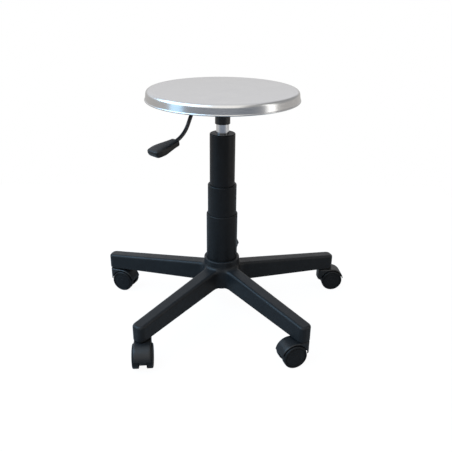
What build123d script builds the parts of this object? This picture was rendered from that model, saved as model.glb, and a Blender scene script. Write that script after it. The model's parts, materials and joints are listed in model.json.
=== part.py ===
from build123d import *
import os
from math import cos, radians, sin, sqrt

# Rolling stool: a round steel seat on a gas-lift column over a five-spoke base with twin-wheel casters.
# Millimetres, +Z up. The origin is the point of the floor under the column's axis.

os.makedirs("parts", exist_ok=True)

# Fits and clearances
press_gap = 0.02          # pressed or glued pairs that stay together
running_gap = 0.10        # shaft in bore, per side
swivel_gap = 0.3          # faces that turn or slide past each other
cover_gap = 0.4           # telescopic cover lips, per side
through = 400.0           # cutting length, past everything it cuts

# Casters
wheel_radius = 26.0
wheel_tread = 12.5        # width of the rolling surface
wheel_dome = 1.4          # bulge of the outer face past the tread
wheel_edge = 1.2          # rounding of the tread edges
wheel_rim = 3.2           # rim wall of the hollow inner side
wheel_hub_radius = 6.5
wheel_web = 3.5           # disc left behind the hollow
wheel_groove = 0.8        # ring groove on the outer face
hood_wall = 2.4
hood_wheel_gap = 1.8      # between tread and hood
hood_width = 43.0
hood_web = 16.0           # plate between the two wheels
hood_back = 15.5          # from stem axis to the hood's end wall
hood_corner = 10.0        # plan rounding of the end wall
hood_edge = 4.0           # rounding round the roof and the arch
hood_foot = 2.0           # lower edge of the end wall, above the axle
arch_foot = 5.0           # lower edge of the arch's end, above the axle
web_radius = 20.0         # plate round the axle, down between the wheels
axle_radius = 3.0
axle_reach = 9.0          # length of axle inside each wheel
caster_trail = 19.0       # stem axis to axle
stem_radius = 5.5
stem_foot_radius = 5.0    # lower end, inside the hood
stem_foot = 21.0
stem_height = 22.0        # upper end, inside the spoke
stem_collar_radius = 9.0
stem_collar = 1.5
ring_groove = 0.9         # depth of the grip ring's groove
ring_width = 6.0
ring_above_collar = 10.0
ring_split = 2.0

# Five-spoke base
spoke_count = 5
base_radius = 298.0
stem_inset = 19.0         # stem axis inside the spoke's tip
spoke_root_radius = 45.0
spoke_root_width = 34.0
spoke_tip_width = 29.6
spoke_root_depth = 45.0
spoke_tip_depth = 35.0
spoke_rise = 20.2         # top face, tip to root
spoke_edge = 6.5          # rounding of the upper edges
spoke_tip_corner = 12.0
valley_radius = 22.0      # plan rounding between spokes
base_wall = 3.2
rib_wall = 2.4
rib_recess = 3.0
rib_first = 74.0
rib_pitch = 42.0
rib_rows = 5
boss_drop = 0.7           # stem boss below the spoke's rim
boss_radius = 13.0
boss_foot_radius = 10.0
socket_spare = 3.0        # stem hole past the stem's end
hub_boss_radius = 31.0
hub_drop = 9.0            # hub boss below the spokes' root
hub_rim_rise = 19.7
hub_rim_wall = 5.6
hub_rim_round = 2.6
cover_seat = 12.5         # depth of the collar that holds the lower cover

# Column tube, guide and thrust bearing
tube_radius = 25.0
tube_wall = 2.0
tube_floor = 3.0
tube_foot = 5.0           # tube below the hub boss
tube_rise = 179.0         # tube above the hub's cover seat
taper = 0.0254            # radius lost per length of taper
guide_length = 75.0
guide_flange = 3.0
rod_radius = 5.0
rod_foot_radius = 4.0
washer_radius = 14.0
washer_thick = 2.0
ball_radius = 2.4
ball_count = 10
ball_circle = 9.6
ball_gap = 0.05
bumper_radius = 11.0
bumper_height = 10.0
bumper_round = 2.0
clip_thick = 1.4
clip_radius = 7.0
clip_groove = 0.9
rod_end = 3.0             # rod below its clip

# Gas spring
cylinder_radius = 14.0
cylinder_bore = 11.0
cylinder_overlap = 20.0   # cylinder below the guide, at rest
gland_length = 22.0
rise_travel = 18.0        # seat travel above the rest height
piston_height = 14.0
piston_margin = 3.0
piston_spigot = 3.5
valve_length = 30.0
valve_inset = 0.5
pin_radius = 3.5
pin_dome = 6.0
pin_inside = 26.0         # release pin inside the valve body

# Telescopic cover
cover_upper_radius = 28.2
cover_middle_radius = 32.7
cover_lower_radius = 35.8
cover_wall = 2.0
cover_lip = 3.0
cover_round = 1.6
cover_lower_show = 111.5  # lower cover above the hub's rim
cover_middle_show = 70.0  # middle cover above the lower one
cover_middle_length = 118.0
cover_overlap = 25.0      # upper cover inside the middle one
cover_to_socket = 21.0    # bare cylinder under the socket

# Seat
seat_height = 527.0
seat_radius = 165.0
seat_depth = 22.5
sheet = 1.2
shoulder = 9.0
skirt_flare = 5.0         # degrees
hem_radius = 2.2
stiffener_radius = 125.0
stiffener_hole = 30.0
stiffener_thick = 2.0
plate_side = 170.0
plate_corner = 20.0
plate_thick = 3.0
stud_pitch = 130.0
stud_radius = 3.0
stud_length = 16.0
stud_hole_gap = 0.3
nut_flats = 10.0
nut_height = 5.0
seat_washer_radius = 9.0
seat_washer_thick = 1.6

# Lever mechanism
bracket_depth = 31.0
bracket_wall = 2.5
bracket_inside = 36.0
bracket_back = 30.0
bracket_front = 46.0
socket_radius = 16.5
socket_drop = 37.0        # socket below the bracket
socket_stand = 2.5        # socket above the bracket's floor
cylinder_stand = 1.0      # cylinder above the socket
pin_clearance = 0.4       # lever to release pin
lever_radius = 4.0
lever_angle = 224.0       # plan direction of the lever
lever_below_plate = 14.0  # lever bar's axis under the seat plate
lever_tail = 10.0         # bar behind the column's axis
lever_bend_radius = 78.0
lever_elbow_radius = 112.0
lever_tip_radius = 197.0
lever_elbow_drop = 67.2
lever_tip_drop = 79.3
lever_bend_round = 18.0
lever_elbow_round = 58.0
pivot_radius = 3.0
pivot_reach = 28.0        # pivot from the column's axis
pivot_below_bar = 8.5
pivot_head = 2.0          # pin past the bracket's walls and clips
pivot_clip_thick = 1.2
pivot_clip_radius = 5.0
pivot_clip_groove = 0.6
block_knuckle = 5.0
block_length = 15.0
block_above = 6.5         # block above the bar's axis
grip_length = 67.0
grip_root_width = 19.0
grip_tip_width = 32.0
grip_end_width = 27.0     # across the flat outer end
grip_round = 2.2
grip_corner = 8.0
grip_half = 6.0           # half thickness beside the rod
grip_crown = 5.4          # top face above the rod's line at its last corner
grip_end_top = 3.0        # outer end's upper edge
grip_end_bottom = 4.8     # outer end's lower edge
grip_belly = 12.0         # depth of the finger bulge
grip_widest = 41.0        # from the rod end, as the next four
grip_top_corner = 46.0
belly_start = 33.0
belly_full = 43.5
belly_end = 59.5
rod_short = 16.0          # grip past the rod's end

# Where each spoke's caster trails, as plan angles
caster_names = ("rear", "left", "front_left", "front_right", "right")
trail_angles = (-18.0, -20.0, -86.0, 199.0, 4.0)
first_spoke = 90.0
spoke_step = 360.0 / spoke_count

# Levels worked out from the floor up
axle_level = wheel_radius
hood_radius = wheel_radius + hood_wheel_gap + hood_wall
hood_top = axle_level + hood_radius
socket_mouth = hood_top + swivel_gap + stem_collar
tip_bottom = socket_mouth + boss_drop
tip_top = tip_bottom + spoke_tip_depth
root_top = tip_top + spoke_rise
root_bottom = root_top - spoke_root_depth
hub_bottom = root_bottom - hub_drop
hub_rim_top = root_top + hub_rim_rise
cover_ledge = hub_rim_top - cover_seat
stem_circle = base_radius - stem_inset

tube_bottom = hub_bottom - tube_foot
tube_top = cover_ledge + tube_rise
bearing_floor = tube_bottom + tube_floor
balls_bottom = bearing_floor + washer_thick + ball_gap
balls_top = balls_bottom + 2 * ball_radius + ball_gap
rod_shoulder = balls_top + washer_thick
bumper_top = rod_shoulder + bumper_height
guide_bottom = tube_top - guide_length

# Levels worked out from the seat down
pan_under = seat_height - sheet
stiffener_under = pan_under - stiffener_thick
plate_under = stiffener_under - plate_thick
lever_level = plate_under - lever_below_plate
bracket_under = plate_under - bracket_depth
bracket_floor = bracket_under + bracket_wall
socket_top = bracket_floor + socket_stand
socket_bottom = bracket_under - socket_drop
cylinder_top = socket_top + cylinder_stand
pin_top = lever_level - lever_radius - pin_clearance
pivot_level = lever_level - pivot_below_bar
valve_top = cylinder_top - valve_inset
valve_bottom = valve_top - valve_length

cylinder_bottom = guide_bottom - cylinder_overlap
piston_bottom = cylinder_bottom + gland_length + rise_travel + piston_margin
piston_top = piston_bottom + piston_height

cover_lower_top = hub_rim_top + cover_lower_show
cover_middle_top = cover_lower_top + cover_middle_show
cover_middle_bottom = cover_middle_top - cover_middle_length
cover_upper_top = socket_bottom - cover_to_socket
cover_upper_bottom = cover_middle_top - cover_overlap


def save(piece, name):
    """Label a finished piece and write it under its node's name."""
    piece.part.label = name
    export_step(piece.part, f"parts/{name}.step")


def along_spoke(radius, root, tip):
    """Level of a straight spoke line at a radius, from its levels at root and tip."""
    return root + (tip - root) * (radius - spoke_root_radius) / (base_radius - spoke_root_radius)


def spoke_top(radius):
    return along_spoke(radius, root_top, tip_top)


def spoke_bottom(radius):
    return along_spoke(radius, root_bottom, tip_bottom)


def plan_direction(angle):
    return Vector(cos(radians(angle)), sin(radians(angle)), 0)


def upright_plane(origin, direction):
    """A vertical plane whose local x runs along a plan direction and whose local y is up."""
    return Plane(origin=origin, x_dir=direction, z_dir=direction.cross(Vector(0, 0, 1)))


def ring(inner, outer, bottom, top):
    """Half section of a plain ring, for revolving about Z."""
    with Locations(((inner + outer) / 2, (bottom + top) / 2)):
        Rectangle(outer - inner, top - bottom)


def taper_radius(start_radius, start_level, level):
    """Radius of a taper that narrows away from its start level."""
    return start_radius - taper * abs(level - start_level)


# Five-spoke base: star outline cut by two cones, rounded above, ribbed channels below
half_at_axis = along_spoke(0, spoke_root_width / 2, spoke_tip_width / 2)
half_at_tip = spoke_tip_width / 2
outside = base_radius + spoke_root_radius

with BuildSketch() as star_plan:
    with PolarLocations(0, spoke_count, start_angle=first_spoke):
        Polygon((0, -half_at_axis), (base_radius, -half_at_tip),
                (base_radius, half_at_tip), (0, half_at_axis), align=None)
    fillet(star_plan.vertices().sort_by_distance((0, 0))[:spoke_count], valley_radius)
    fillet(star_plan.vertices().sort_by_distance((0, 0))[-2 * spoke_count:], spoke_tip_corner)


def star_under(level):
    """The channel plan, one wall inside the star, extruded from the floor and cut under a sloping level."""
    with BuildPart() as channel:
        with BuildSketch():
            add(star_plan.sketch)
            offset(amount=-base_wall)
        extrude(amount=root_top)
        with BuildSketch(Plane.XZ):
            Polygon((hub_boss_radius, 0), (outside, 0), (outside, level(outside)),
                    (hub_boss_radius, level(hub_boss_radius)), align=None)
        revolve(axis=Axis.Z, mode=Mode.INTERSECT)
        with PolarLocations(stem_circle, spoke_count, start_angle=first_spoke):
            Cylinder(boss_radius, through, mode=Mode.SUBTRACT)
    return channel


with BuildPart() as deep_channels:
    add(star_under(lambda radius: spoke_top(radius) - base_wall).part)
    with PolarLocations(0, spoke_count, start_angle=first_spoke):
        Box(base_radius, rib_wall, through,
            align=(Align.MIN, Align.CENTER, Align.CENTER), mode=Mode.SUBTRACT)
    for row in range(rib_rows):
        with PolarLocations(rib_first + row * rib_pitch, spoke_count, start_angle=first_spoke):
            Box(rib_wall, spoke_root_width, through, mode=Mode.SUBTRACT)

shallow_channels = star_under(lambda radius: spoke_bottom(radius) + rib_recess)

with BuildPart() as base_star:
    with BuildSketch():
        add(star_plan.sketch)
    extrude(amount=hub_rim_top)
    with BuildSketch(Plane.XZ):
        Polygon((0, spoke_bottom(0)), (outside, spoke_bottom(outside)),
                (outside, spoke_top(outside)), (0, spoke_top(0)), align=None)
    revolve(axis=Axis.Z, mode=Mode.INTERSECT)
    fillet(base_star.faces().filter_by(GeomType.CONE).sort_by(Axis.Z)[-1].edges(), spoke_edge)
    add(deep_channels.part, mode=Mode.SUBTRACT)
    add(shallow_channels.part, mode=Mode.SUBTRACT)
    with BuildSketch(Plane.XZ):
        ring(0, cover_lower_radius + swivel_gap + hub_rim_wall, root_top - base_wall, hub_rim_top)
        ring(0, hub_boss_radius, hub_bottom, root_top)
    revolve(axis=Axis.Z)
    with BuildSketch(Plane.XY.offset(socket_mouth)):
        with PolarLocations(stem_circle, spoke_count, start_angle=first_spoke):
            Circle(boss_foot_radius)
    extrude(amount=stem_height)
    with BuildSketch(Plane.XZ):
        ring(0, cover_lower_radius + swivel_gap, cover_ledge, hub_rim_top)
        Polygon((0, hub_bottom),
                (taper_radius(tube_radius, cover_ledge, hub_bottom) + press_gap, hub_bottom),
                (tube_radius + press_gap, cover_ledge), (0, cover_ledge), align=None)
    revolve(axis=Axis.Z, mode=Mode.SUBTRACT)
    with BuildSketch(Plane.XY.offset(socket_mouth)):
        with PolarLocations(stem_circle, spoke_count, start_angle=first_spoke):
            Circle(stem_radius + press_gap)
    extrude(amount=stem_height + socket_spare, mode=Mode.SUBTRACT)
    fillet(base_star.edges().filter_by(GeomType.CIRCLE).group_by(Axis.Z)[-1], hub_rim_round)
save(base_star, "base_star")

# Column tube with tapered foot and turned-in floor
tube_inside = tube_radius - tube_wall
foot_radius = taper_radius(tube_radius, cover_ledge, tube_bottom)
with BuildPart() as column_tube:
    with BuildSketch(Plane.XZ):
        Polygon((rod_foot_radius + swivel_gap, tube_bottom), (foot_radius, tube_bottom),
                (tube_radius, cover_ledge), (tube_radius, tube_top), (tube_inside, tube_top),
                (tube_inside, cover_ledge), (foot_radius - tube_wall, bearing_floor),
                (rod_foot_radius + swivel_gap, bearing_floor), align=None)
    revolve(axis=Axis.Z)
save(column_tube, "column_tube")

# Guide sleeve in the mouth of the tube, with a flange on its rim
with BuildPart() as guide_sleeve:
    with BuildSketch(Plane.XZ):
        ring(cylinder_radius + running_gap, tube_inside - press_gap, guide_bottom, tube_top)
        ring(cylinder_radius + running_gap, tube_radius, tube_top, tube_top + guide_flange)
    revolve(axis=Axis.Z)
save(guide_sleeve, "guide_sleeve")

# Thrust bearing, bumper and the rod's fastening under the tube
with BuildPart() as bearing_lower_washer:
    with BuildSketch(Plane.XZ):
        ring(rod_foot_radius + swivel_gap, washer_radius, bearing_floor, bearing_floor + washer_thick)
    revolve(axis=Axis.Z)
save(bearing_lower_washer, "bearing_lower_washer")

with BuildPart() as bearing_balls:
    with Locations((0, 0, balls_bottom + ball_radius)):
        with PolarLocations(ball_circle, ball_count):
            Sphere(ball_radius)
save(bearing_balls, "bearing_balls")

with BuildPart() as bearing_upper_washer:
    with BuildSketch(Plane.XZ):
        ring(rod_foot_radius + press_gap, washer_radius, balls_top, rod_shoulder)
    revolve(axis=Axis.Z)
save(bearing_upper_washer, "bearing_upper_washer")

with BuildPart() as rod_bumper:
    with BuildSketch(Plane.XZ) as bumper_section:
        ring(rod_radius + press_gap, bumper_radius, rod_shoulder, bumper_top)
        fillet(bumper_section.vertices().group_by(Axis.X)[-1], bumper_round)
    revolve(axis=Axis.Z)
save(rod_bumper, "rod_bumper")

rod_washer_top = tube_bottom - swivel_gap
clip_top = rod_washer_top - washer_thick
with BuildPart() as rod_washer:
    with BuildSketch(Plane.XZ):
        ring(rod_foot_radius + press_gap, washer_radius, clip_top, rod_washer_top)
    revolve(axis=Axis.Z)
save(rod_washer, "rod_washer")

with BuildPart() as rod_retaining_clip:
    with BuildSketch(Plane.XY.offset(clip_top - clip_thick)):
        Circle(clip_radius)
        Circle(rod_foot_radius - clip_groove + press_gap, mode=Mode.SUBTRACT)
        with Locations((clip_radius, 0)):
            Rectangle(2 * clip_radius, rod_foot_radius, mode=Mode.SUBTRACT)
    extrude(amount=clip_thick)
save(rod_retaining_clip, "rod_retaining_clip")

# Piston rod: shouldered on the bearing, grooved for its clip, stepped for the piston
rod_bottom = clip_top - clip_thick - rod_end
with BuildPart() as piston_rod:
    with BuildSketch(Plane.XZ):
        ring(0, rod_foot_radius, rod_bottom, rod_shoulder)
        ring(0, rod_radius, rod_shoulder, piston_bottom)
        ring(0, piston_spigot, piston_bottom, piston_top)
        with Locations((rod_foot_radius - clip_groove / 2, clip_top - clip_thick / 2)):
            Rectangle(clip_groove, clip_thick, mode=Mode.SUBTRACT)
    revolve(axis=Axis.Z)
save(piston_rod, "piston_rod")

with BuildPart() as piston:
    with BuildSketch(Plane.XZ):
        ring(piston_spigot + press_gap, cylinder_bore - running_gap, piston_bottom, piston_top)
    revolve(axis=Axis.Z)
save(piston, "piston")

# Gas spring cylinder with its upper taper, the rod guide below and the valve body above
with BuildPart() as gas_cylinder:
    with BuildSketch(Plane.XZ):
        Polygon((cylinder_bore, cylinder_bottom), (cylinder_radius, cylinder_bottom),
                (cylinder_radius, socket_bottom),
                (taper_radius(cylinder_radius, socket_bottom, cylinder_top), cylinder_top),
                (cylinder_bore, cylinder_top), align=None)
    revolve(axis=Axis.Z)
save(gas_cylinder, "gas_cylinder")

with BuildPart() as cylinder_rod_guide:
    with BuildSketch(Plane.XZ):
        ring(rod_radius + running_gap, cylinder_bore - press_gap,
             cylinder_bottom, cylinder_bottom + gland_length)
    revolve(axis=Axis.Z)
save(cylinder_rod_guide, "cylinder_rod_guide")

with BuildPart() as valve_body:
    with BuildSketch(Plane.XZ):
        ring(pin_radius + running_gap, cylinder_bore - press_gap, valve_bottom, valve_top)
    revolve(axis=Axis.Z)
save(valve_body, "valve_body")

# Release pin with a domed top
dome_drop = pin_dome - sqrt(pin_dome ** 2 - pin_radius ** 2)
with BuildPart() as release_pin:
    with BuildSketch(Plane.XZ):
        with BuildLine():
            Polyline((0, pin_top), (0, valve_top - pin_inside), (pin_radius, valve_top - pin_inside),
                     (pin_radius, pin_top - dome_drop))
            RadiusArc((pin_radius, pin_top - dome_drop), (0, pin_top), -pin_dome)
        make_face()
    revolve(axis=Axis.Z)
save(release_pin, "release_pin")


def telescopic_cover(name, radius, bottom, top, mouth_radius, foot_radius_out):
    """A cover tube with an inward lip at its top and, where given, an outward lip at its foot."""
    inside = radius - cover_wall
    with BuildPart() as cover:
        with BuildSketch(Plane.XZ):
            ring(inside, radius, bottom, top)
            ring(mouth_radius, radius, top - cover_lip, top)
            if foot_radius_out:
                ring(inside, foot_radius_out, bottom, bottom + cover_lip)
        revolve(axis=Axis.Z)
        top_edges = cover.edges().filter_by(GeomType.CIRCLE).group_by(Axis.Z)[-1]
        fillet(top_edges.sort_by(SortBy.RADIUS)[-1], cover_round)
    save(cover, name)


telescopic_cover("cover_lower", cover_lower_radius, cover_ledge, cover_lower_top,
                 cover_middle_radius + cover_gap, 0)
telescopic_cover("cover_middle", cover_middle_radius, cover_middle_bottom, cover_middle_top,
                 cover_upper_radius + cover_gap, cover_lower_radius - cover_wall - cover_gap)
telescopic_cover("cover_upper", cover_upper_radius, cover_upper_bottom, cover_upper_top,
                 cylinder_radius + cover_gap, cover_middle_radius - cover_wall - cover_gap)

# Seat pan: flat top, round shoulder, slightly flared skirt and a rolled hem
hem_bottom = seat_height - seat_depth
flare = radians(skirt_flare)
hem_centre_radius = seat_radius - hem_radius
hem_centre_level = hem_bottom + hem_radius
skirt_drop = seat_height - shoulder - hem_centre_level + shoulder * sin(flare)
skirt_run = skirt_drop * sin(flare) / cos(flare)
shoulder_centre = hem_centre_radius + sheet / 2 - skirt_run - shoulder * cos(flare)
inner_shoulder = shoulder - sheet


def shoulder_end(radius):
    """Where the shoulder's arc passes into the skirt."""
    return (shoulder_centre + radius * cos(flare), seat_height - shoulder + radius * sin(flare))


def skirt_foot(radius):
    """Where the skirt's line, square to that end, reaches the level of the hem's centre."""
    start = shoulder_end(radius)
    drop = start[1] - hem_centre_level
    return (start[0] + drop * sin(flare) / cos(flare), hem_centre_level)


with BuildPart() as seat_pan:
    with BuildSketch(Plane.XZ):
        with BuildLine():
            Line((0, seat_height), (shoulder_centre, seat_height))
            CenterArc((shoulder_centre, seat_height - shoulder), shoulder, 90, skirt_flare - 90)
            Line(shoulder_end(shoulder), skirt_foot(shoulder))
            Line(skirt_foot(shoulder), skirt_foot(inner_shoulder))
            Line(skirt_foot(inner_shoulder), shoulder_end(inner_shoulder))
            CenterArc((shoulder_centre, seat_height - shoulder), inner_shoulder, skirt_flare,
                      90 - skirt_flare)
            Line((shoulder_centre, pan_under), (0, pan_under))
            Line((0, pan_under), (0, seat_height))
        make_face()
        with Locations((hem_centre_radius, hem_centre_level)):
            Circle(hem_radius)
    revolve(axis=Axis.Z)
save(seat_pan, "seat_pan")

# Stiffener disc under the pan, with four weld studs, washers and nuts that hold the seat plate
lever_direction = plan_direction(lever_angle)
plate_plane = Plane(origin=(0, 0, plate_under), x_dir=lever_direction, z_dir=(0, 0, 1))

with BuildPart() as seat_stiffener:
    with BuildSketch(Plane.XY.offset(stiffener_under)):
        Circle(stiffener_radius)
        Circle(stiffener_hole, mode=Mode.SUBTRACT)
    extrude(amount=stiffener_thick)
save(seat_stiffener, "seat_stiffener")

with BuildPart() as seat_plate:
    with BuildSketch(plate_plane):
        RectangleRounded(plate_side, plate_side, plate_corner)
        with GridLocations(stud_pitch, stud_pitch, 2, 2):
            Circle(stud_radius + stud_hole_gap, mode=Mode.SUBTRACT)
    extrude(amount=plate_thick)
save(seat_plate, "seat_plate")

with BuildPart() as seat_studs:
    with BuildSketch(plate_plane.offset(plate_thick)):
        with GridLocations(stud_pitch, stud_pitch, 2, 2):
            Circle(stud_radius)
    extrude(amount=-stud_length)
save(seat_studs, "seat_studs")

with BuildPart() as seat_washers:
    with BuildSketch(plate_plane):
        with GridLocations(stud_pitch, stud_pitch, 2, 2):
            Circle(seat_washer_radius)
            Circle(stud_radius + stud_hole_gap, mode=Mode.SUBTRACT)
    extrude(amount=-seat_washer_thick)
save(seat_washers, "seat_washers")

with BuildPart() as seat_nuts:
    with BuildSketch(plate_plane.offset(-seat_washer_thick)):
        with GridLocations(stud_pitch, stud_pitch, 2, 2):
            RegularPolygon(nut_flats / 2, 6, major_radius=False)
            Circle(stud_radius + press_gap, mode=Mode.SUBTRACT)
    extrude(amount=-nut_height)
save(seat_nuts, "seat_nuts")

# Lever bracket: a channel under the plate, open at both ends, that carries socket and lever pivot
bracket_plane = upright_plane((0, 0, 0), lever_direction)
bracket_side = bracket_inside / 2 + bracket_wall
with BuildPart() as lever_bracket:
    with BuildSketch(bracket_plane):
        with Locations(((bracket_front - bracket_back) / 2, bracket_under + bracket_depth / 2)):
            Rectangle(bracket_front + bracket_back, bracket_depth)
    extrude(amount=bracket_side, both=True)
    with BuildSketch(bracket_plane):
        with Locations(((bracket_front - bracket_back) / 2, bracket_floor + bracket_depth / 2)):
            Rectangle(bracket_front + bracket_back, bracket_depth)
    extrude(amount=bracket_inside / 2, both=True, mode=Mode.SUBTRACT)
    with BuildSketch(Plane.XY.offset(bracket_under)):
        Circle(socket_radius + press_gap)
    extrude(amount=bracket_wall, mode=Mode.SUBTRACT)
    with BuildSketch(bracket_plane):
        with Locations((pivot_reach, pivot_level)):
            Circle(pivot_radius + press_gap)
    extrude(amount=bracket_side, both=True, mode=Mode.SUBTRACT)
save(lever_bracket, "lever_bracket")

with BuildPart() as taper_socket:
    with BuildSketch(Plane.XZ):
        Polygon((cylinder_radius + press_gap, socket_bottom), (socket_radius, socket_bottom),
                (socket_radius, socket_top),
                (taper_radius(cylinder_radius, socket_bottom, socket_top) + press_gap, socket_top),
                align=None)
    revolve(axis=Axis.Z)
save(taper_socket, "taper_socket")

# Pivot pin across the bracket, held by a clip at each end
pin_half = bracket_side + pivot_clip_thick + pivot_head
with BuildPart() as lever_pivot_pin:
    with BuildSketch(bracket_plane):
        with Locations((pivot_reach, pivot_level)):
            Circle(pivot_radius)
    extrude(amount=pin_half, both=True)
    for side in (-1, 1):
        with BuildSketch(bracket_plane.offset(side * bracket_side)):
            with Locations((pivot_reach, pivot_level)):
                Circle(pivot_radius)
                Circle(pivot_radius - pivot_clip_groove, mode=Mode.SUBTRACT)
        extrude(amount=side * pivot_clip_thick, mode=Mode.SUBTRACT)
save(lever_pivot_pin, "lever_pivot_pin")

with BuildPart() as pivot_pin_clips:
    for side in (-1, 1):
        with BuildSketch(bracket_plane.offset(side * bracket_side)):
            with Locations((pivot_reach, pivot_level)):
                Circle(pivot_clip_radius)
                Circle(pivot_radius - pivot_clip_groove + press_gap, mode=Mode.SUBTRACT)
            with Locations((pivot_reach, pivot_level - pivot_clip_radius)):
                Rectangle(pivot_radius, 2 * pivot_clip_radius, mode=Mode.SUBTRACT)
        extrude(amount=side * pivot_clip_thick)
save(pivot_pin_clips, "pivot_pin_clips")

# Lever rod: straight over the release pin, bent down outside the bracket and out again to the grip
lever_elbow = (lever_elbow_radius, lever_level - lever_elbow_drop)
lever_tip = (lever_tip_radius, lever_level - lever_tip_drop)
grip_run = Vector(lever_tip[0] - lever_elbow[0], lever_tip[1] - lever_elbow[1], 0)
grip_along = grip_run.normalized()
rod_stop = (lever_tip[0] - grip_along.X * rod_short, lever_tip[1] - grip_along.Y * rod_short)


def lever_bar(radius, stop):
    """A round bar along the lever's centre line, up to a stop on the grip's line."""
    with BuildPart() as bar:
        with BuildLine(bracket_plane) as centre_line:
            FilletPolyline((-lever_tail, lever_level), (lever_bend_radius, lever_level), lever_elbow,
                           stop, radius=(lever_bend_round, lever_elbow_round))
        with BuildSketch(Plane(origin=centre_line.line @ 0, z_dir=centre_line.line % 0)):
            Circle(radius)
        sweep(path=centre_line.line)
    return bar


lever_rod = lever_bar(lever_radius, rod_stop)
save(lever_rod, "lever_rod")
bar_bore = lever_bar(lever_radius + press_gap, rod_stop)

# Pivot block: clamps the bar and turns on the pivot pin
with BuildPart() as lever_pivot_block:
    with BuildSketch(bracket_plane):
        with Locations((pivot_reach, pivot_level)):
            Circle(block_knuckle)
        with Locations((pivot_reach, (pivot_level + lever_level + block_above) / 2)):
            Rectangle(block_length, lever_level + block_above - pivot_level)
        with Locations((pivot_reach, pivot_level)):
            Circle(pivot_radius + running_gap, mode=Mode.SUBTRACT)
    extrude(amount=bracket_inside / 2 - swivel_gap, both=True)
    add(bar_bore.part, mode=Mode.SUBTRACT)
save(lever_pivot_block, "lever_pivot_block")

# Paddle grip: plan outline met by a side profile with a finger bulge, edges rounded
grip_direction = lever_direction * grip_along.X + Vector(0, 0, grip_along.Y)
grip_side = lever_direction.cross(Vector(0, 0, 1))
grip_end = lever_direction * lever_tip[0] + Vector(0, 0, lever_tip[1])
grip_start = grip_end - grip_direction * grip_length
grip_top_plane = Plane(origin=grip_start, x_dir=grip_direction, z_dir=grip_side.cross(grip_direction))
grip_side_plane = Plane(origin=grip_start, x_dir=grip_direction, z_dir=grip_side)

with BuildPart() as lever_grip:
    with BuildSketch(grip_top_plane) as paddle:
        Polygon((0, -grip_root_width / 2), (grip_widest, -grip_tip_width / 2),
                (grip_length, -grip_end_width / 2), (grip_length, grip_end_width / 2),
                (grip_widest, grip_tip_width / 2), (0, grip_root_width / 2), align=None)
        fillet(paddle.vertices().sort_by(Axis(grip_start, grip_direction))[-2:], grip_corner)
    extrude(amount=grip_belly + grip_half, both=True)
    with BuildSketch(grip_side_plane):
        Polygon((0, grip_half), (grip_top_corner, grip_crown), (grip_length, grip_end_top),
                (grip_length, -grip_end_bottom), (belly_end, -grip_belly), (belly_full, -grip_belly),
                (belly_start, -grip_half), (0, -grip_half), align=None)
    extrude(amount=grip_tip_width, both=True, mode=Mode.INTERSECT)
    fillet(lever_grip.edges(), grip_round)
    add(bar_bore.part, mode=Mode.SUBTRACT)
save(lever_grip, "lever_grip")


# Caster pieces, each made once with the stem's axis on Z, the trail along +X and the floor at zero
ring_level = socket_mouth + ring_above_collar
with BuildPart() as stem_master:
    with BuildSketch(Plane.XZ):
        ring(0, stem_foot_radius, socket_mouth - stem_collar - stem_foot, socket_mouth - stem_collar)
        ring(0, stem_collar_radius, socket_mouth - stem_collar, socket_mouth)
        ring(0, stem_radius, socket_mouth, socket_mouth + stem_height)
        with Locations((stem_radius - ring_groove / 2, ring_level)):
            Rectangle(ring_groove, ring_width, mode=Mode.SUBTRACT)
    revolve(axis=Axis.Z)
    chamfer(stem_master.faces().sort_by(Axis.Z)[-1].edges(), ring_groove)

# Hood: arched roof over the wheels, end wall, side walls open round the wheels, plate between the wheels
hood_low = axle_level + hood_foot
arch_low = axle_level + arch_foot
hood_half = hood_width / 2
cavity_radius = hood_radius - hood_wall
axle_plane = Plane(origin=(caster_trail, 0, axle_level), x_dir=(1, 0, 0), z_dir=(0, 0, 1))


def side_profile(back, top, corner):
    """Side view of the hood behind the axle: a rectangle with its upper back corner rounded."""
    with Locations(((caster_trail - back) / 2, (hood_low + top) / 2)):
        block = Rectangle(caster_trail + back, top - hood_low)
    fillet(block.vertices().group_by(Axis.X)[0].sort_by(Axis.Z)[-1], corner)


def plan_profile(back, half, corner):
    """Plan of the hood behind the axle: a rectangle with both back corners rounded."""
    with Locations(((caster_trail - back) / 2, 0)):
        block = Rectangle(caster_trail + back, 2 * half)
    fillet(block.vertices().group_by(Axis.X)[0], corner)


def axle_disc(radius):
    with Locations((caster_trail, axle_level)):
        Circle(radius)


# The arch: a band about the axle with rounded edges, kept in front of the axle and above its own foot
edge_inside = sqrt(hood_edge ** 2 - (hood_edge - hood_wall) ** 2)
with BuildPart() as hood_arch:
    with BuildSketch(axle_plane):
        with BuildLine():
            Polyline((hood_radius, hood_half - hood_edge), (hood_radius, hood_edge - hood_half))
            RadiusArc((hood_radius, hood_edge - hood_half),
                      (cavity_radius, hood_edge - hood_half - edge_inside), hood_edge)
            Polyline((cavity_radius, hood_edge - hood_half - edge_inside),
                     (cavity_radius, hood_half - hood_edge + edge_inside))
            RadiusArc((cavity_radius, hood_half - hood_edge + edge_inside),
                      (hood_radius, hood_half - hood_edge), hood_edge)
        make_face()
    revolve(axis=Axis((caster_trail, 0, axle_level), (0, 1, 0)))
    with Locations((caster_trail, 0, arch_low)):
        Box(hood_radius, hood_width, 2 * hood_radius, align=(Align.MIN, Align.CENTER, Align.MIN),
            mode=Mode.INTERSECT)

# The plate between the wheels, carried down round the axle
with BuildPart() as hood_plate:
    with BuildSketch(Plane.XZ):
        axle_disc(hood_radius - hood_wall / 2)
        with Locations((caster_trail, arch_low)):
            Rectangle(2 * hood_radius, hood_radius, align=(Align.CENTER, Align.MIN), mode=Mode.INTERSECT)
        side_profile(hood_back - hood_wall, hood_top - hood_wall, hood_edge)
        axle_disc(web_radius)
    extrude(amount=hood_web / 2, both=True)

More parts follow.
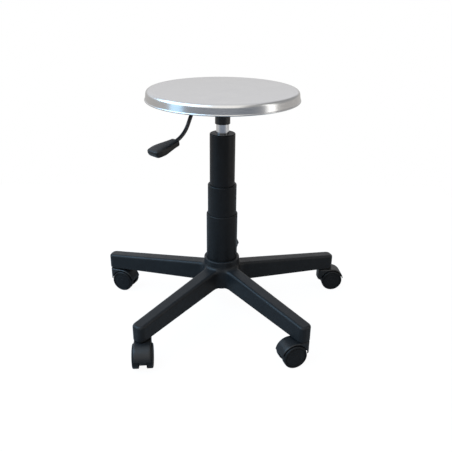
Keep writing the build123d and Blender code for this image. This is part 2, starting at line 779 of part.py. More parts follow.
with BuildPart() as hood_master:
    with BuildSketch(Plane.YZ.offset(-hood_back)):
        with Locations((0, (hood_low + hood_top) / 2)):
            front_view = Rectangle(hood_width, hood_top - hood_low)
        fillet(front_view.vertices().group_by(Axis.Y)[-1], hood_edge)
    extrude(amount=hood_back + caster_trail)
    with BuildSketch(Plane.XZ):
        side_profile(hood_back, hood_top, hood_edge)
    extrude(amount=hood_width, both=True, mode=Mode.INTERSECT)
    with BuildSketch():
        plan_profile(hood_back, hood_half, hood_corner)
    extrude(amount=hood_top, mode=Mode.INTERSECT)
    with BuildSketch(Plane.XY.offset(hood_low)):
        plan_profile(hood_back - hood_wall, hood_half - hood_wall, hood_corner - hood_wall)
    extrude(amount=hood_top - hood_wall - hood_low, mode=Mode.SUBTRACT)
    with BuildSketch(Plane.XZ):
        axle_disc(cavity_radius)
    extrude(amount=hood_width, both=True, mode=Mode.SUBTRACT)
    add(hood_arch.part)
    add(hood_plate.part)
    with BuildSketch(Plane.XZ):
        axle_disc(axle_radius + press_gap)
    extrude(amount=hood_web / 2, both=True, mode=Mode.SUBTRACT)
    with BuildSketch(Plane.XY.offset(hood_top)):
        Circle(stem_foot_radius + running_gap)
    extrude(amount=-stem_foot, mode=Mode.SUBTRACT)

# Axle: steel pin pressed through the hood's plate
with BuildPart() as axle_master:
    with BuildSketch(Plane.XZ):
        with Locations((caster_trail, axle_level)):
            Circle(axle_radius)
    extrude(amount=hood_web / 2 + axle_reach, both=True)

# Wheel, made on Z with its outer face up: domed outside, hollow behind, with a blind hub
wheel_inner = hood_web / 2 + swivel_gap
wheel_outer = wheel_inner + wheel_tread
bore_radius = axle_radius + running_gap
bore_end = hood_web / 2 + axle_reach + swivel_gap
rim_inside = wheel_radius - wheel_rim
hollow_end = wheel_outer - wheel_web
edge_start = wheel_radius - wheel_edge
dome_edge = rim_inside - wheel_groove
dome_radius = (dome_edge ** 2 + wheel_dome ** 2) / (2 * wheel_dome)
with BuildPart() as wheel_master:
    with BuildSketch(Plane.XZ):
        with BuildLine():
            Polyline((0, bore_end), (bore_radius, bore_end), (bore_radius, wheel_inner),
                     (wheel_hub_radius, wheel_inner), (wheel_hub_radius, hollow_end),
                     (rim_inside, hollow_end), (rim_inside, wheel_inner), (edge_start, wheel_inner),
                     (wheel_radius, wheel_inner + wheel_edge), (wheel_radius, wheel_outer - wheel_edge),
                     (edge_start, wheel_outer), (rim_inside + wheel_groove, wheel_outer),
                     (rim_inside, wheel_outer - wheel_groove), (dome_edge, wheel_outer))
            RadiusArc((dome_edge, wheel_outer), (0, wheel_outer + wheel_dome), -dome_radius)
            Line((0, wheel_outer + wheel_dome), (0, bore_end))
        make_face()
    revolve(axis=Axis.Z)


def place(master, plane, name):
    """Set a copy of a caster piece on a plane and write it."""
    with BuildPart() as piece:
        with Locations(plane):
            add(master.part)
    save(piece, name)


stem_points = [plan_direction(first_spoke + index * spoke_step) * stem_circle
               for index in range(spoke_count)]
for position, stem_point, trail_angle in zip(caster_names, stem_points, trail_angles):
    trail = plan_direction(trail_angle)
    caster_plane = Plane(origin=stem_point, x_dir=trail, z_dir=(0, 0, 1))
    axle_centre = stem_point + trail * caster_trail + Vector(0, 0, axle_level)
    place(stem_master, caster_plane, f"caster_{position}_stem")
    place(hood_master, caster_plane, f"caster_{position}_hood")
    place(axle_master, caster_plane, f"caster_{position}_axle")
    place(wheel_master, Plane(origin=axle_centre, x_dir=trail, z_dir=caster_plane.y_dir),
          f"caster_{position}_wheel_left")
    place(wheel_master, Plane(origin=axle_centre, x_dir=trail, z_dir=-caster_plane.y_dir),
          f"caster_{position}_wheel_right")

# Split grip rings that hold the stems in the spokes
with BuildPart() as stem_grip_rings:
    with BuildSketch(Plane.XY.offset(ring_level - ring_width / 2 + press_gap)):
        with Locations(*stem_points):
            Circle(stem_radius)
            Circle(stem_radius - ring_groove + press_gap, mode=Mode.SUBTRACT)
            with Locations((stem_radius, 0)):
                Rectangle(2 * stem_radius, ring_split, mode=Mode.SUBTRACT)
    extrude(amount=ring_width - 2 * press_gap)
save(stem_grip_rings, "stem_grip_rings")
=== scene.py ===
"""Rolling stool: satin steel seat, gas column and five-spoke nylon base on twin-wheel casters.

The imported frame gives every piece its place. New surfaces are grids of points worked out in millimetres
with numpy and set into the frame in metres.
"""
import json
import math

import bmesh
import bpy
import numpy as np
from mathutils import Matrix, Vector


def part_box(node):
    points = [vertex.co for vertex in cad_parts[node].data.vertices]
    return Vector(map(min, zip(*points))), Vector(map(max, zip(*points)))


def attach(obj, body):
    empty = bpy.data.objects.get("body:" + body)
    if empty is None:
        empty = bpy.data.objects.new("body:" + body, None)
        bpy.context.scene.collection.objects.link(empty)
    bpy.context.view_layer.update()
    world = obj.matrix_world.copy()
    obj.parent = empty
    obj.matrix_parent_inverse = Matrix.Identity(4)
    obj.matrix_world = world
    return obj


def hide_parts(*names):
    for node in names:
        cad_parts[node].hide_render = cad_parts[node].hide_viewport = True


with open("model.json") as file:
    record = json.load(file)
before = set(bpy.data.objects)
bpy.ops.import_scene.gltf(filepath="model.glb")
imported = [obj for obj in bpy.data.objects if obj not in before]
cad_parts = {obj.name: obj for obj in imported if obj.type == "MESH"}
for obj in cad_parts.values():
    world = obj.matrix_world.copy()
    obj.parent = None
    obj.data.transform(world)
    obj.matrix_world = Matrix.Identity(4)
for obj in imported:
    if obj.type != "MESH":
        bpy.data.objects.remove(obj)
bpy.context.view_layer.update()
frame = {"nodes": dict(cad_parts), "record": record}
joints = {joint["name"]: joint for joint in frame["record"]["behaviour"]["joints"]}

MM = 0.001
TURN = 2 * math.pi
UP = np.array([0.0, 0.0, 1.0])

# Small edge roundings, in millimetres as all sizes here
fine_edge = 0.3
small_edge = 0.4
soft_edge = 0.6

# Seat pan
seat_height = 527.0
seat_radius = 165.0
seat_depth = 22.5
seat_crown = 0.5          # middle above the shoulder
sheet = 1.2
shoulder = 8.0
skirt_flare = math.radians(5.0)
hem_radius = 1.7
hem_inset = 0.1           # hem inside the seat's full radius
hem_start, hem_end = 84, -245    # ends of the hem's arc, in degrees

# Telescopic cover
cover_radius = {"cover_lower": 35.8, "cover_middle": 32.7, "cover_upper": 28.2}
cover_wall = 2.0
cover_lip = 3.0
cover_gap = 0.4
cover_round = 2.2
cylinder_radius = 14.0

# Base
arm_pitch = TURN / 5
base_radius = 298.0
root_radius = 45.0
root_top = 113.9
spoke_rise = 20.2         # root's top above the arm's end
spoke_edge = 6.5
valley_radius = 22.0
valley_reach = 66.22      # axis to the middle of a valley's circle
collar_radius = 41.7
collar_top = 133.6
collar_round = 2.4
collar_fillet = 7.0
fillet_tuck = 0.4         # fillet's inner edge inside the collar
fillet_proud = 0.04       # fillet's skin above the arms
fillet_sunk = 4.0, 12.0   # its underside below its outer and inner edge
lip_gap = 0.1             # lip clear of the lower cover
lip_depth = 6.0
lip_proud = 0.05          # lip's skin outside the collar
lip_under = 0.2           # rounding of the lip's lower edges

# Casters
casters = ("rear", "left", "front_left", "front_right", "right")
wheel_radius = 26.0
wheel_inner = 8.3
wheel_outer = 21.7
wheel_edge = 2.8
wheel_web = 17.3          # level of the web's inner side
tread_inside = 22.8
wheel_hub = 6.5
wheel_bore = 3.1
hood_wall = 1.7
hood_half = 18.0
hood_radius = 30.2
hood_back = 15.5
hood_corner = 10.0
hood_edge = 3.0
hood_foot = 2.0
arch_foot = 5.0
web_half = 8.0
web_radius = 20.0

# Wheel's outer side from its middle to the tread: radius, level over the outer face, rounding
wheel_face = [(0, 0, 0), (5.4, 0, 0.5), (6.2, -0.5, 0.5), (13.2, -0.3, 0.8), (14.4, -0.8, 0.8),
              (20.2, -0.9, 0.4), (20.8, -1.9, 0.3), (21.6, -1.9, 0.3), (22.4, -0.2, 0.5),
              (wheel_radius, -0.2, wheel_edge)]

# Seat fixing
plate_under = 520.8
stud_radius = 3.0
stud_pitch = 130.0
stud_length = 13.0
thread_pitch = 1.0
thread_depth = 0.3
thread_rows = 8           # rows of points in a millimetre
point_length = 1.2        # stud's pointed end
point_share = 0.55        # least share of its radius there
nut_flats = 10.0
nut_height = 5.0
nut_levels = np.array([0, 0.35, 0.7, 1.1])
chamfer_share = 0.97      # chamfer's radius at the face, as a share of half the flats
chamfer_slope = 1.7
washer_thick = 1.6
socket_radius = 16.5
bracket_under = 489.8
weld_radius = 2.4
weld_ripple = 3.2         # length of one ripple
weld_swell = 0.14         # share of the radius that comes and goes

# Lever
lever_level = 506.8
lever_angle = math.radians(224.0)
elbow_reach, elbow_drop = 112.0, 67.2
tip_reach, tip_drop = 197.0, 79.3
grip_start = 67.0         # grip's root back from the lever's tip
grip_length = 65.0
grip_offset = 1.2         # sideways from the lever
grip_power = 0.42         # lower is squarer
grip_root_round = 4.0
grip_tip_round = 6.0
root_narrows, root_thins = 3.0, 2.2    # half width and half depth drawn in at the root
tip_narrows = 6.0         # half width drawn in at the tip
tip_least = 1.2           # half depth that stays at the tip
tip_thins = 0.75          # share of the rest drawn in there

# Grip at distances from its root: half width, top and bottom
grip_half = [(0, 11.0), (12, 12.5), (30, 16.5), (41, 18.4), (52, 18.2), (grip_length, 16.0)]
grip_top = [(0, 6.0), (46, 5.4), (grip_length, 3.0)]
grip_bottom = [(0, -6.6), (16, -8.2), (32, -10.2), (42, -11.8), (45, -12.0), (58, -12.0), (61, -11.2),
               (grip_length, -4.8)]

# Floor and camera, in metres and radians; sensor and lens in millimetres
floor_half = 0.85
floor_lit = 0.4           # floor's paint to light, mirrors and glass
floor_glow = 0.10         # its glow to mirrors and glass
camera_glow = 0.96        # its glow to the camera
camera_shade = 0.08       # paint that keeps the shadow there
camera_stand = (-0.00673, -1.17183, 0.73614)
camera_yaw, camera_pitch, camera_roll = -0.01384, -0.42178, 0.01025
camera_sensor, camera_lens = 36.0, 43.79


# Surfaces
def unit(vectors):
    """Vectors brought to a length of one."""
    return vectors / np.linalg.norm(vectors, axis=-1, keepdims=True)


def grid_faces(rows, columns, round_rows, round_columns):
    """Quads between neighbouring points of a grid, joined end to end where it goes all the way round."""
    row, column = np.meshgrid(np.arange(rows - (not round_rows)), np.arange(columns - (not round_columns)),
                              indexing="ij")
    next_row, next_column = (row + 1) % rows, (column + 1) % columns
    corners = [row * columns + column, row * columns + next_column,
               next_row * columns + next_column, next_row * columns + column]
    return np.stack(corners, -1).reshape(-1, 4)


def piece(name, body, slot, surfaces, stands_for=(), crisp=35.0):
    """One mesh object from surfaces, each a grid of points and whether its rows and columns go right round."""
    points, faces, count = [], [], 0
    for grid, round_rows, round_columns in surfaces:
        rows, columns = grid.shape[:2]
        points.append(grid.reshape(-1, 3) * MM)
        faces.append(grid_faces(rows, columns, round_rows, round_columns) + count)
        count += rows * columns
    mesh = bpy.data.meshes.new(name)
    mesh.from_pydata(np.concatenate(points), [], np.concatenate(faces))
    work = bmesh.new()
    work.from_mesh(mesh)
    bmesh.ops.remove_doubles(work, verts=work.verts, dist=1e-6)
    bmesh.ops.recalc_face_normals(work, faces=work.faces)
    work.to_mesh(mesh)
    work.free()
    mesh.shade_smooth()
    mesh.set_sharp_from_angle(angle=math.radians(crisp))
    mesh.materials.append(finishes[slot])
    made = bpy.data.objects.new(name, mesh)
    bpy.context.scene.collection.objects.link(made)
    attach(made, body)
    if stands_for:
        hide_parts(*stands_for)
    return made


def arc(centre, radius, start, end, steps):
    """Points along a circle in a section, from one angle to another in degrees."""
    angle = np.radians(np.linspace(start, end, steps))
    return np.stack([centre[0] + radius * np.cos(angle), centre[1] + radius * np.sin(angle)], -1)


def softened(corners, steps=6):
    """A closed outline through corners (x, y, radius), each rounded by an arc that touches both its sides.

    The arc's middle lies on the corner's bisector, and its points turn evenly from one side to the other.
    """
    corners = np.asarray(corners, float)
    at, radius = corners[:, :2], corners[:, 2:]
    back, ahead = unit(np.roll(at, 1, 0) - at), unit(np.roll(at, -1, 0) - at)
    half = np.arccos(np.clip((back * ahead).sum(1, keepdims=True), -1, 1)) / 2
    centre = at + unit(back + ahead) * radius / np.sin(half)
    first, last = at + back * radius / np.tan(half) - centre, at + ahead * radius / np.tan(half) - centre
    share, sweep = np.linspace(0, 1, steps)[:, None], math.pi - 2 * half[:, None]
    turned_to = np.sin((1 - share) * sweep) * first[:, None] + np.sin(share * sweep) * last[:, None]
    return (centre[:, None] + turned_to / np.sin(sweep)).reshape(-1, 2)


def round_angles(sides):
    """Angles spaced evenly once round, the last a step short of the first."""
    return np.linspace(0, TURN, sides, endpoint=False)


def ringed(radius, angle, level):
    """Points about the upright axis: radius times cosine and sine of the angle, at a level."""
    return np.stack([radius * np.cos(angle), radius * np.sin(angle), level + 0 * angle], -1)


def turned(section, sides=96):
    """A section of (radius, level) points turned about the upright axis: radius on a circle, level up."""
    return ringed(section[:, 0, None], round_angles(sides), section[:, 1, None])


def capped(rings):
    """Rings about the upright axis, closed at both ends by a point on it."""
    return np.concatenate([rings[:1] * (0, 0, 1), rings, rings[-1:] * (0, 0, 1)])


def set_on(points, origin, along, across, up=UP):
    """Local points carried to an origin and three directions."""
    return origin + points @ np.stack([along, across, up])


def smooth_step(value, start, end):
    """From 0 at the start to 1 at the end, level at both: three times the share squared less twice its cube."""
    share = np.clip((value - start) / (end - start), 0, 1)
    return share * share * (3 - 2 * share)


# Finishes
def add(tree, kind, inputs=None, **settings):
    """A node with its settings; each input is a plain value or another node's output socket."""
    made = tree.nodes.new(kind)
    for setting, value in settings.items():
        setattr(made, setting, value)
    for socket, value in (inputs or {}).items():
        if isinstance(value, bpy.types.NodeSocket):
            tree.links.new(value, made.inputs[socket])
        else:
            made.inputs[socket].default_value = value
    return made


def new_finish(name, **constants):
    """A material whose Principled shader has these constants on its own sockets."""
    material = bpy.data.materials.new(name)
    material.use_nodes = True
    tree = material.node_tree
    shader = tree.nodes["Principled BSDF"]
    for socket, value in constants.items():
        shader.inputs[socket.replace("_", " ")].default_value = value
    return material, tree, shader


def place(tree, stretch=(1, 1, 1)):
    """Object coordinates in millimetres, squeezed along each axis by the stretch."""
    where = add(tree, "ShaderNodeTexCoord").outputs["Object"]
    scale = tuple(1000.0 / s for s in stretch)
    return add(tree, "ShaderNodeMapping", {"Vector": where, "Scale": scale}).outputs["Vector"]


def speckle(tree, size, stretch=(1, 1, 1), detail=2.0, roughness=0.5):
    """Noise with blobs of about this size in millimetres, longer along the stretched axes."""
    inputs = {"Vector": place(tree, stretch), "Scale": 1.0 / size, "Detail": detail, "Roughness": roughness}
    return add(tree, "ShaderNodeTexNoise", inputs).outputs["Fac"]


def between(tree, amount, low, high, start=0.3, end=0.7):
    """The amount, from start to end, spread from low to high."""
    inputs = {"Value": amount, "From Min": start, "From Max": end, "To Min": low, "To Max": high}
    return add(tree, "ShaderNodeMapRange", inputs, clamp=True).outputs["Result"]


def blend_colours(tree, amount, first, second):
    """A colour mixed from two by the amount."""
    ramp = add(tree, "ShaderNodeValToRGB", {"Fac": amount})
    ramp.color_ramp.elements[0].position, ramp.color_ramp.elements[1].position = 0.3, 0.7
    ramp.color_ramp.elements[0].color = (*first, 1)
    ramp.color_ramp.elements[1].color = (*second, 1)
    return ramp.outputs["Color"]


def raised(tree, height, depth, below=None):
    """A bump of this depth in millimetres, on top of another one where given."""
    inputs = {"Height": height, "Strength": 1.0, "Distance": depth * MM}
    if below is not None:
        inputs["Normal"] = below
    return add(tree, "ShaderNodeBump", inputs).outputs["Normal"]


def moulded(name, dark, light, rough, grain, depth, gloss=0.3):
    """Moulded plastic: cloudy colour, spark-eroded grain, and roughness that drifts over the surface."""
    material, tree, shader = new_finish(name, Specular_IOR_Level=gloss)
    tree.links.new(blend_colours(tree, speckle(tree, 35, detail=4), dark, light), shader.inputs["Base Color"])
    drift = between(tree, speckle(tree, 14, detail=5), rough - 0.05, rough + 0.07)
    tree.links.new(drift, shader.inputs["Roughness"])
    flow = raised(tree, speckle(tree, 30, detail=1), 0.25)
    tree.links.new(raised(tree, speckle(tree, grain, detail=3), depth, flow), shader.inputs["Normal"])
    return material


def lacquered(name, dark, light, rough, gloss=0.4):
    """Powder-coated steel: orange-peel dimples under a fine sparkle."""
    material, tree, shader = new_finish(name, Specular_IOR_Level=gloss, Coat_Weight=0.15, Coat_Roughness=0.25)
    tree.links.new(blend_colours(tree, speckle(tree, 9, detail=4), dark, light), shader.inputs["Base Color"])
    drift = between(tree, speckle(tree, 5, detail=4), rough - 0.06, rough + 0.06)
    tree.links.new(drift, shader.inputs["Roughness"])
    peel = raised(tree, speckle(tree, 1.6, detail=1), 0.05)
    tree.links.new(raised(tree, speckle(tree, 0.25), 0.01, peel), shader.inputs["Normal"])
    return material


def bare_metal(name, dark, light, rough, stretch, line, depth=0.004):
    """Bare metal with fine drawn lines along the stretched axis and faint stains."""
    material, tree, shader = new_finish(name, Metallic=1.0)
    tree.links.new(blend_colours(tree, speckle(tree, 12, detail=5), dark, light), shader.inputs["Base Color"])
    lines = speckle(tree, line, stretch, detail=3)
    tree.links.new(between(tree, lines, rough - 0.05, rough + 0.08), shader.inputs["Roughness"])
    tree.links.new(raised(tree, lines, depth), shader.inputs["Normal"])
    return material


def satin_steel(name):
    """Spun stainless sheet: rings of fine lines about the axis, faint rub marks and cloudy gloss."""
    material, tree, shader = new_finish(name, Metallic=1.0)
    where = add(tree, "ShaderNodeSeparateXYZ", {"Vector": place(tree)})
    x, y, z = where.outputs
    flat = add(tree, "ShaderNodeCombineXYZ", {"X": x, "Y": y, "Z": 0.0}).outputs["Vector"]
    radius = add(tree, "ShaderNodeVectorMath", {0: flat}, operation="LENGTH").outputs["Value"]
    angle = add(tree, "ShaderNodeMath", {0: y, 1: x}, operation="ARCTAN2").outputs["Value"]
    turns = add(tree, "ShaderNodeMath", {0: angle, 1: 2.0}, operation="MULTIPLY").outputs["Value"]
    spun = add(tree, "ShaderNodeCombineXYZ", {"X": radius, "Y": turns, "Z": z}).outputs["Vector"]
    rings = add(tree, "ShaderNodeTexNoise", {"Vector": spun, "Scale": 3.0, "Detail": 4.0}).outputs["Fac"]
    clouds = blend_colours(tree, speckle(tree, 40, detail=5), (0.57, 0.57, 0.575), (0.60, 0.60, 0.60))
    tree.links.new(clouds, shader.inputs["Base Color"])
    tree.links.new(between(tree, rings, 0.18, 0.28), shader.inputs["Roughness"])
    tree.links.new(raised(tree, rings, 0.004), shader.inputs["Normal"])
    return material


finishes = {
    "seat_steel": satin_steel("satin_seat_steel"),
    "bright_tube": bare_metal("bright_cylinder", (0.66, 0.68, 0.71), (0.74, 0.76, 0.79),
                              rough=0.16, stretch=(1, 1, 60), line=0.15),
    "base_nylon": moulded("charcoal_base_nylon", (0.015, 0.0152, 0.016), (0.019, 0.0192, 0.020),
                          rough=0.38, grain=0.5, depth=0.05, gloss=0.17),
    "cover_plastic": moulded("black_cover_plastic", (0.0085, 0.0085, 0.009), (0.0115, 0.0115, 0.012),
                             rough=0.40, grain=0.4, depth=0.04, gloss=0.18),
    "caster_nylon": moulded("black_caster_nylon", (0.010, 0.010, 0.0105), (0.013, 0.013, 0.0135),
                            rough=0.38, grain=0.45, depth=0.04, gloss=0.33),
    "wheel_nylon": moulded("black_wheel_nylon", (0.011, 0.011, 0.0115), (0.014, 0.014, 0.0145),
                           rough=0.40, grain=0.35, depth=0.03, gloss=0.14),
    "grip_plastic": moulded("black_grip_plastic", (0.006, 0.006, 0.0065), (0.009, 0.009, 0.0095),
                            rough=0.42, grain=0.5, depth=0.05),
    "lever_steel": lacquered("black_lever_lacquer", (0.006, 0.006, 0.007), (0.009, 0.009, 0.010), rough=0.32),
    "black_steel": lacquered("black_bracket_lacquer", (0.006, 0.006, 0.0065), (0.009, 0.009, 0.0095), rough=0.40),
    "tube_steel": bare_metal("oiled_tube_steel", (0.10, 0.10, 0.11), (0.16, 0.16, 0.17),
                             rough=0.38, stretch=(1, 1, 40), line=0.3),
    "zinc_steel": bare_metal("zinc_plated_steel", (0.55, 0.56, 0.58), (0.68, 0.68, 0.66),
                             rough=0.30, stretch=(1, 1, 1), line=0.6),
    "guide_acetal": moulded("ivory_guide_acetal", (0.62, 0.60, 0.54), (0.70, 0.68, 0.62),
                            rough=0.38, grain=0.6, depth=0.02, gloss=0.5),
    "bumper_rubber": moulded("black_bumper_rubber", (0.010, 0.010, 0.010), (0.016, 0.016, 0.016),
                             rough=0.75, grain=0.7, depth=0.06),
    "valve_brass": bare_metal("valve_brass", (0.62, 0.44, 0.16), (0.72, 0.53, 0.22),
                              rough=0.25, stretch=(1, 1, 1), line=0.4),
}

for part in frame["record"]["subparts"]:
    node = frame["nodes"][part["node"]]
    node.data.materials.clear()
    node.data.materials.append(finishes[part["material_slot"]])


# Seat pan
def seat_section():
    """Half section of the pan: crowned top, shoulder arc, flared skirt, rolled hem and the same way back inside."""
    hem = np.array([seat_radius - hem_inset - hem_radius, seat_height - seat_depth + hem_radius])
    drop = seat_height - shoulder - hem[1] + shoulder * math.sin(skirt_flare)
    bend = np.array([hem[0] + hem_inset - drop * math.tan(skirt_flare) - shoulder * math.cos(skirt_flare),
                     seat_height - seat_crown - shoulder])
    out = np.linspace(0, bend[0], 40)
    top = np.stack([out, seat_height - seat_crown * (out / bend[0]) ** 2], -1)
    flare = math.degrees(skirt_flare)
    outer_bend = arc(bend, shoulder, 90, flare, 20)
    inner_bend = arc(bend, shoulder - sheet, flare, 90, 14)
    roll = arc(hem, hem_radius, hem_start, hem_end, 44)
    down = np.concatenate([np.linspace(0.04, 0.96, 8), [0.99]])[:, None]
    skirt = outer_bend[-1] + (roll[0] - outer_bend[-1]) * down
    inside = roll[-1] + (inner_bend[0] - roll[-1]) * down
    return np.concatenate([top[:-1], outer_bend, skirt, roll, inside, inner_bend, top[-2::-1] - (0, sheet)])


piece("seat_shell", "seat", "seat_steel", [(turned(seat_section(), 256), False, True)], ["seat_pan"], 60)


# Telescopic cover
def cover_tube(node, body, mouth, foot):
    """A tube about the column's axis: rounded rim, thick lip at its mouth and, where given, a lip at its foot."""
    low, high = (np.array(corner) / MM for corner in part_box(node))
    radius, bottom, top = cover_radius[node], low[2], high[2]
    inside = radius - cover_wall
    foot_corners = [(radius, bottom, soft_edge)]
    if foot:
        foot_corners = [(foot, bottom, small_edge), (foot, bottom + cover_lip, small_edge),
                        (radius, bottom + cover_lip, fine_edge)]
    section = softened([(inside, bottom, fine_edge), *foot_corners, (radius, top, cover_round),
                        (mouth, top, soft_edge), (mouth, top - cover_lip, small_edge),
                        (inside, top - cover_lip, small_edge)])
    piece(f"{node}_tube", body, "cover_plastic", [(turned(section, 128), True, True)], [node])


cover_tube("cover_lower", "base", cover_radius["cover_middle"] + cover_gap, 0)
cover_tube("cover_middle", "cover_middle", cover_radius["cover_upper"] + cover_gap,
           cover_radius["cover_lower"] - cover_wall - cover_gap)
cover_tube("cover_upper", "cover_upper", cylinder_radius + cover_gap,
           cover_radius["cover_middle"] - cover_wall - cover_gap)


# Hub: the arms' tops swept up into the collar
def hub_fillet(first_arm):
    """A skin round the collar: the arms' sloping top, raised by a hollow quarter arc towards the collar.

    The rise falls from the fillet's radius at the collar to nothing one radius further out. Near the outline,
    a round circle in each valley, the skin rolls over like the arms' edges. Its underside lies a little lower.
    """
    around = round_angles(720)
    valley = (around - first_arm) % arm_pitch - arm_pitch / 2
    aside = np.clip(valley_radius ** 2 - (valley_reach * np.sin(valley)) ** 2, 0, None)
    outline = np.where(aside > 0, valley_reach * np.cos(valley) - np.sqrt(aside), np.inf)
    reach = np.minimum(outline, collar_radius + collar_fillet)
    start = collar_radius - fillet_tuck
    radius = start + np.linspace(0, 1, 25)[:, None] ** 0.8 * (reach - start)
    from_collar = np.clip(radius - collar_radius, 0, collar_fillet)
    rise = collar_fillet - np.sqrt(collar_fillet ** 2 - (collar_fillet - from_collar) ** 2)
    across, along = radius * np.sin(valley), valley_reach - radius * np.cos(valley)
    inside = np.clip(np.hypot(across, along) - valley_radius, 0, spoke_edge)
    roll = spoke_edge - np.sqrt(spoke_edge ** 2 - (spoke_edge - inside) ** 2)
    cone = root_top - spoke_rise * (radius - root_radius) / (base_radius - root_radius)
    level = cone + rise - roll + fillet_proud
    radius = np.concatenate([radius, radius[-1:], radius[:1]])
    level = np.concatenate([level, level[-1:] - fillet_sunk[0], level[:1] - fillet_sunk[1]])
    return ringed(radius, around, level)


rear_stem = joints["caster_rear_swivel"]["pos_m"]
hub_skin = hub_fillet(math.atan2(rear_stem[1], rear_stem[0]))
piece("hub_fillet", "base", "base_nylon", [(hub_skin, True, True)], crisp=60)

lip_inside, lip_outside = cover_radius["cover_lower"] + lip_gap, collar_radius + lip_proud
lip_section = softened([(lip_inside, collar_top - lip_depth, lip_under),
                        (lip_outside, collar_top - lip_depth, lip_under),
                        (lip_outside, collar_top + lip_proud, collar_round),
                        (lip_inside, collar_top + lip_proud, fine_edge)], 10)
piece("collar_lip", "base", "base_nylon", [(turned(lip_section, 128), True, True)], crisp=60)


# Lever
def grip_stations():
    """Along the grip: its half width, middle and half depth, drawn in round at both ends."""
    along = np.concatenate([np.linspace(0, grip_root_round, 8),
                            np.linspace(grip_root_round, grip_length - grip_tip_round, 40)[1:-1],
                            np.linspace(grip_length - grip_tip_round, grip_length, 12)])
    half, top, bottom = (np.interp(along, *np.transpose(table)) for table in (grip_half, grip_top, grip_bottom))
    start = np.sqrt(1 - (1 - np.clip(along / grip_root_round, 0, 1)) ** 2)
    end = np.sqrt(1 - np.clip((along - grip_length + grip_tip_round) / grip_tip_round, 0, 1) ** 2)
    half = half - root_narrows * (1 - start) - tip_narrows * (1 - end)
    middle, deep = (top + bottom) / 2, (top - bottom) / 2
    return along, half, middle, deep - root_thins * (1 - start) - (deep - tip_least) * tip_thins * (1 - end)


def grip_surface():
    """A squared oval carried along the lever's end: width and depth follow cosine and sine to a low power."""
    along, half, middle, deep = (station[:, None] for station in grip_stations())
    turn = round_angles(72)
    wide = np.sign(np.cos(turn)) * np.abs(np.cos(turn)) ** grip_power
    high = np.sign(np.sin(turn)) * np.abs(np.sin(turn)) ** grip_power
    body = np.stack([along + 0 * turn, half * wide + grip_offset, middle + deep * high], -1)
    ends = [np.broadcast_to(body[row].mean(0), body[row].shape)[None] for row in (0, -1)]
    return np.concatenate([ends[0], body, ends[1]])


lever_out = np.array([math.cos(lever_angle), math.sin(lever_angle), 0.0])
lever_side = np.cross(UP, lever_out)
elbow = lever_out * elbow_reach + UP * (lever_level - elbow_drop)
tip = lever_out * tip_reach + UP * (lever_level - tip_drop)
grip_along = unit(tip - elbow)
grip = set_on(grip_surface(), tip - grip_along * grip_start, grip_along, lever_side,
              np.cross(grip_along, lever_side))
piece("lever_paddle", "lever", "grip_plastic", [(grip, False, True)], ["lever_grip"], 40)


# Seat fixing
def thread(length):
    """A screw thread: the radius dips in a zigzag that climbs one pitch in each turn, closed at both ends."""
    turn = round_angles(24)
    level = np.linspace(0, -length, int(length * thread_rows))[:, None]
    phase = (level / thread_pitch - turn / TURN) % 1.0
    point = np.clip((length + level) / point_length, point_share, 1.0)
    radius = (stud_radius - thread_depth * (1 - np.abs(2 * phase - 1))) * point
    return capped(ringed(radius, turn, level))


def nut():
    """A hexagon nut: the smaller of the hexagon's radius and a cone that chamfers both faces."""
    turn = round_angles(96)
    flat = nut_flats / 2 / np.cos((turn + TURN / 12) % (TURN / 6) - TURN / 12)
    level = np.concatenate([nut_levels, [nut_height / 2], nut_height - nut_levels[::-1]])[:, None]
    cone = nut_flats / 2 * chamfer_share + np.minimum(level, nut_height - level) * chamfer_slope
    return capped(ringed(np.minimum(flat, cone), turn, -level))


def weld_bead(line, outward):
    """A rippled bead along a line: a round rib whose radius swells once in each ripple's length."""
    step = np.linalg.norm(np.diff(line, axis=0, append=line[-1:]), axis=1)
    ripple = np.abs(np.sin(math.pi * np.cumsum(step) / weld_ripple))
    radius = (weld_radius * (1 - weld_swell + weld_swell * ripple))[:, None, None]
    turn = round_angles(16)[:, None]
    return line[:, None] + radius * (outward[:, None] * np.cos(turn) + UP * np.sin(turn))


corner_signs = np.array([(1, 1), (-1, 1), (-1, -1), (1, -1)]) * stud_pitch / 2
stud_feet = [lever_out * a + lever_side * b + UP * plate_under for a, b in corner_signs]
piece("seat_threads", "seat", "zinc_steel", [(thread(stud_length) + foot, False, True) for foot in stud_feet],
      ["seat_studs"], 60)
piece("seat_hexagons", "seat", "zinc_steel", [(nut() + foot - UP * washer_thick, False, True) for foot in stud_feet],
      ["seat_nuts"], 25)
ring_out = ringed(1.0, round_angles(240), 0.0)
socket_ring = ring_out * socket_radius + UP * bracket_under
piece("socket_weld", "seat", "black_steel", [(weld_bead(socket_ring, ring_out), True, True)], crisp=60)


# Casters
def wheel_section():
    """Half section of a wheel, from its outer face's middle round the tread to the hub's bore."""
    face = [(radius, wheel_outer + level, edge) for radius, level, edge in wheel_face]
    inside = [(wheel_radius, wheel_inner, 1.0), (tread_inside, wheel_inner, soft_edge),
              (tread_inside, wheel_web, 1.0), (wheel_hub, wheel_web, 1.0), (wheel_hub, wheel_inner, small_edge),
              (wheel_bore, wheel_inner, fine_edge), (wheel_bore, wheel_web, 0), (0, wheel_web, 0)]
    return softened(face + inside)


